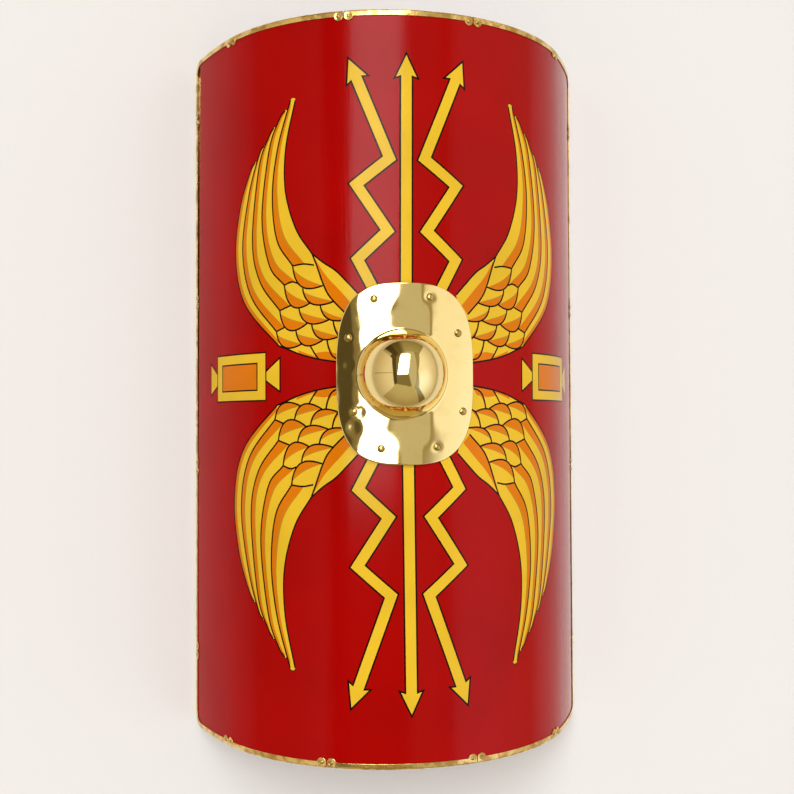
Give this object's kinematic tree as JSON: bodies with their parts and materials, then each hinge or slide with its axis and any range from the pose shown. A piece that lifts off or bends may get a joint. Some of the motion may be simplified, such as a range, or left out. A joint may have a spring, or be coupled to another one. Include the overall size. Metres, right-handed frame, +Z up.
{
  "type": "roman scutum shield",
  "caption": "Tall curved infantry shield: painted plywood board with a winged thunderbolt, domed brass boss over a hand hole, wooden grip and nailed brass rim.",
  "frame": {"origin": "on the floor, under the middle of the shield as it lies face up on its two long rims", "axes": "+X to the shield's right seen from in front, +Y towards its top edge, +Z up, out of its face"},
  "size_m": [0.6112, 1.05, 0.3328],
  "materials": {
    "painted_board": "glossy red enamel with a painted yellow and orange emblem in front, varnished ply behind",
    "polished_brass": "mirror polished, slightly wavy",
    "rivet_brass": "satin, darker in the rings",
    "rim_brass": "bright, lightly hammered",
    "grip_wood": "oiled beech"
  },
  "bodies": {
    "root": {"board": "painted_board", "boss": "polished_brass", "grip": "grip_wood", "boss_rivet_1": "rivet_brass", "boss_rivet_2": "rivet_brass", "boss_rivet_3": "rivet_brass", "boss_rivet_4": "rivet_brass", "boss_rivet_5": "rivet_brass", "boss_rivet_6": "rivet_brass", "boss_rivet_7": "rivet_brass", "boss_rivet_8": "rivet_brass", "rim_top_left": "rim_brass", "rim_top_middle": "rim_brass", "rim_top_right": "rim_brass", "rim_corner_top_right": "rim_brass", "rim_right_upper": "rim_brass", "rim_right_middle": "rim_brass", "rim_right_lower": "rim_brass", "rim_corner_bottom_right": "rim_brass", "rim_bottom_right": "rim_brass", "rim_bottom_middle": "rim_brass", "rim_bottom_left": "rim_brass", "rim_corner_bottom_left": "rim_brass", "rim_left_lower": "rim_brass", "rim_left_middle": "rim_brass", "rim_left_upper": "rim_brass", "rim_corner_top_left": "rim_brass", "rim_nail_01": "rivet_brass", "rim_nail_02": "rivet_brass", "rim_nail_03": "rivet_brass", "rim_nail_04": "rivet_brass", "rim_nail_05": "rivet_brass", "rim_nail_06": "rivet_brass", "rim_nail_07": "rivet_brass", "rim_nail_08": "rivet_brass", "rim_nail_09": "rivet_brass", "rim_nail_10": "rivet_brass", "rim_nail_11": "rivet_brass", "rim_nail_12": "rivet_brass", "rim_nail_13": "rivet_brass", "rim_nail_14": "rivet_brass", "rim_nail_15": "rivet_brass", "rim_nail_16": "rivet_brass", "rim_nail_17": "rivet_brass", "rim_nail_18": "rivet_brass", "rim_nail_19": "rivet_brass", "rim_nail_20": "rivet_brass", "rim_nail_21": "rivet_brass", "rim_nail_22": "rivet_brass", "rim_nail_23": "rivet_brass", "rim_nail_24": "rivet_brass", "rim_nail_25": "rivet_brass", "rim_nail_26": "rivet_brass", "rim_nail_27": "rivet_brass", "rim_nail_28": "rivet_brass", "rim_nail_29": "rivet_brass", "rim_nail_30": "rivet_brass", "rim_nail_31": "rivet_brass", "rim_nail_32": "rivet_brass"}
  },
  "joints": []
}
